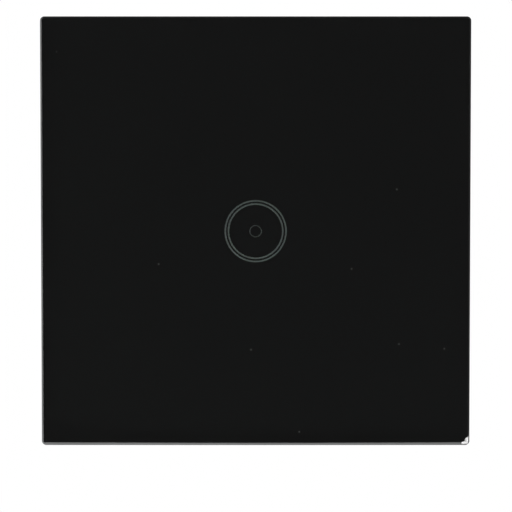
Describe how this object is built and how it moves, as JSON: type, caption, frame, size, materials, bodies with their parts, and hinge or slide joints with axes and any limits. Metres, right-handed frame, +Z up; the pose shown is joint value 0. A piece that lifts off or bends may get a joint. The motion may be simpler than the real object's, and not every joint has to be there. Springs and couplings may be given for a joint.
{
  "type": "touch light switch",
  "caption": "Square black glass touch light switch for a round wall box, with a push-on panel, steel mounting plate, switching module and rising-cage screw terminals.",
  "frame": {"origin": "middle of the wall plane, which is the rear face of the mounting plate", "axes": "+X to the right as seen from the room, +Y into the wall, +Z up; the glass faces -Y"},
  "size_m": [0.08, 0.037, 0.08],
  "materials": {
    "glass": "clear toughened glass over a black print, ground bevels",
    "black_print": "black screen print",
    "mark_ink": "translucent grey screen print",
    "tape": "double-sided acrylic tape",
    "carrier": "fine-textured black moulding",
    "zinc_steel": "zinc-plated pressed steel",
    "screw_steel": "zinc-plated steel",
    "housing": "pale flame-retardant moulding",
    "cover": "pale moulding",
    "light_guide": "clear moulding",
    "board": "green solder mask",
    "copper": "bare copper",
    "led": "moulded LED package",
    "chip": "moulded epoxy",
    "tinned": "tinned copper",
    "gilt": "gold-flashed pins",
    "film_case": "yellow moulded case",
    "can_sleeve": "dark sleeve",
    "ferrite": "ferrite and shrink sleeve",
    "varistor_coat": "blue epoxy",
    "fuse_body": "ceramic barrel",
    "resistor_coat": "pale blue lacquer",
    "relay_moulding": "black moulding",
    "relay_case": "blue moulding",
    "bobbin": "pale moulding",
    "soft_iron": "plated soft iron",
    "contact_bronze": "bronze with silver rivets",
    "block": "dark grey moulding",
    "terminal_brass": "brass"
  },
  "bodies": {
    "base": {"mounting_plate": "zinc_steel", "box_screws": "screw_steel", "module_screws": "screw_steel", "board_screws": "screw_steel", "rear_housing": "housing", "module_cover": "cover", "light_guide": "light_guide", "touch_board": "board", "power_board": "board", "touch_pad": "copper", "relay_coil": "copper", "indicator_leds": "led", "touch_chip": "chip", "rectifier": "chip", "board_socket": "chip", "board_header": "chip", "chip_leads": "tinned", "component_leads": "tinned", "relay_pins": "tinned", "header_pins": "gilt", "film_capacitor": "film_case", "electrolytic_capacitor": "can_sleeve", "choke": "ferrite", "varistor": "varistor_coat", "fuse": "fuse_body", "resistors": "resistor_coat", "relay_base": "relay_moulding", "relay_case": "relay_case", "relay_bobbin": "bobbin", "relay_core": "soft_iron", "relay_yoke": "soft_iron", "relay_fixed_contacts": "contact_bronze", "terminal_block": "block", "terminal_bars": "terminal_brass"},
    "panel": {"glass_panel": "glass", "back_print": "black_print", "touch_mark": "mark_ink", "adhesive_tape": "tape", "carrier_frame": "carrier"},
    "armature": {"relay_armature": "soft_iron", "relay_contact_leaf": "contact_bronze"},
    "screw_1": {"terminal_screw_1": "screw_steel"},
    "cage_1": {"terminal_cage_1": "terminal_brass"},
    "screw_2": {"terminal_screw_2": "screw_steel"},
    "cage_2": {"terminal_cage_2": "terminal_brass"},
    "screw_3": {"terminal_screw_3": "screw_steel"},
    "cage_3": {"terminal_cage_3": "terminal_brass"}
  },
  "joints": [
    {"name": "panel_pull", "type": "slide", "parent": "base", "child": "panel", "axis": [0, -1, 0], "range_m": [0, 0.02]},
    {"name": "relay_armature", "type": "hinge", "parent": "base", "child": "armature", "pos_m": [-0.0166, 0.01725, 0.00879], "axis": [0, 0, -1], "range_deg": [0, 3], "stiffness_Nm_per_rad": 0.002, "springref_deg": -5.73},
    {"name": "terminal_screw_1", "type": "hinge", "parent": "base", "child": "screw_1", "pos_m": [-0.009, 0.02, -0.01795], "axis": [0, -1, 0], "range_deg": [0, 1800]},
    {"name": "terminal_cage_1", "type": "slide", "parent": "base", "child": "cage_1", "axis": [0, 1, 0], "range_m": [0, 0.0025]},
    {"name": "terminal_screw_2", "type": "hinge", "parent": "base", "child": "screw_2", "pos_m": [0, 0.02, -0.01795], "axis": [0, -1, 0], "range_deg": [0, 1800]},
    {"name": "terminal_cage_2", "type": "slide", "parent": "base", "child": "cage_2", "axis": [0, 1, 0], "range_m": [0, 0.0025]},
    {"name": "terminal_screw_3", "type": "hinge", "parent": "base", "child": "screw_3", "pos_m": [0.009, 0.02, -0.01795], "axis": [0, -1, 0], "range_deg": [0, 1800]},
    {"name": "terminal_cage_3", "type": "slide", "parent": "base", "child": "cage_3", "axis": [0, 1, 0], "range_m": [0, 0.0025]}
  ],
  "couplings": [
    {"joint": "terminal_screw_1", "follows": "terminal_cage_1", "rad_per_m": 12566},
    {"joint": "terminal_screw_2", "follows": "terminal_cage_2", "rad_per_m": 12566},
    {"joint": "terminal_screw_3", "follows": "terminal_cage_3", "rad_per_m": 12566}
  ]
}
